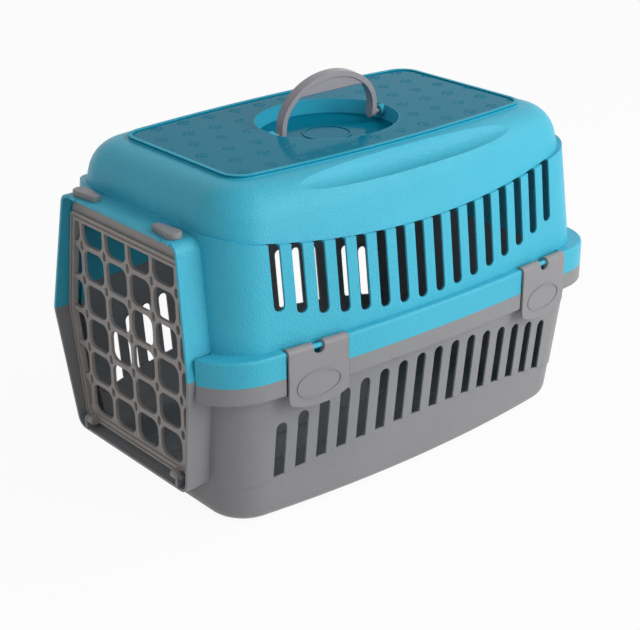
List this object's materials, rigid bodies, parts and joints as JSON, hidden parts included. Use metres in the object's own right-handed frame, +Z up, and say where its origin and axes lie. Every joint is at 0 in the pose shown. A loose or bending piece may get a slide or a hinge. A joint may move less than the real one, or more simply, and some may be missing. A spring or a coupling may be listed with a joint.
{
  "type": "pet carrier",
  "caption": "Two-part moulded pet carrier with slotted sides, a bottom-hinged grille door, turn latches, side latches and a folding carry handle.",
  "frame": {"origin": "middle of the footprint, on the surface that the carrier stands on", "axes": "+X along the length away from the door, +Y across, +Z up"},
  "size_m": [0.496, 0.3228, 0.3717],
  "materials": {
    "coloured_top": "moulded polypropylene, fine pebble texture, glossy panel on top",
    "grey_base": "moulded polypropylene, fine pebble texture",
    "grey_fittings": "moulded polypropylene, satin",
    "grey_handle": "moulded polypropylene, semi-gloss"
  },
  "bodies": {
    "root": {"bottom_shell": "grey_base", "top_shell": "coloured_top"},
    "door": {"door": "grey_fittings"},
    "turn_latch_near": {"turn_latch_near": "grey_fittings"},
    "turn_latch_far": {"turn_latch_far": "grey_fittings"},
    "carry_handle": {"carry_handle": "grey_handle"},
    "side_latch_front_near": {"side_latch_front_near": "grey_fittings"},
    "side_latch_rear_near": {"side_latch_rear_near": "grey_fittings"},
    "side_latch_front_far": {"side_latch_front_far": "grey_fittings"},
    "side_latch_rear_far": {"side_latch_rear_far": "grey_fittings"}
  },
  "joints": [
    {"name": "door_hinge", "type": "hinge", "parent": "root", "child": "door", "pos_m": [-0.2385, 0, 0.05], "axis": [0, -1, 0], "range_deg": [0, 95]},
    {"name": "turn_latch_near_pivot", "type": "hinge", "parent": "root", "child": "turn_latch_near", "pos_m": [-0.2305, -0.073, 0.2806], "axis": [0, 0, 1], "range_deg": [0, 90]},
    {"name": "turn_latch_far_pivot", "type": "hinge", "parent": "root", "child": "turn_latch_far", "pos_m": [-0.2305, 0.073, 0.2806], "axis": [0, 0, -1], "range_deg": [0, 90]},
    {"name": "handle_pivot", "type": "hinge", "parent": "root", "child": "carry_handle", "pos_m": [0.0053, 0, 0.318], "axis": [1, 0, 0], "range_deg": [-94, 82]},
    {"name": "side_latch_front_near_pivot", "type": "hinge", "parent": "root", "child": "side_latch_front_near", "pos_m": [-0.13865, -0.15232, 0.178], "axis": [-0.9969, 0.0785, 0], "range_deg": [0, 110]},
    {"name": "side_latch_rear_near_pivot", "type": "hinge", "parent": "root", "child": "side_latch_rear_near", "pos_m": [0.15385, -0.15232, 0.178], "axis": [-0.9969, -0.0785, 0], "range_deg": [0, 110]},
    {"name": "side_latch_front_far_pivot", "type": "hinge", "parent": "root", "child": "side_latch_front_far", "pos_m": [-0.13865, 0.15232, 0.178], "axis": [0.9969, 0.0785, 0], "range_deg": [0, 110]},
    {"name": "side_latch_rear_far_pivot", "type": "hinge", "parent": "root", "child": "side_latch_rear_far", "pos_m": [0.15385, 0.15232, 0.178], "axis": [0.9969, -0.0785, 0], "range_deg": [0, 110]}
  ]
}
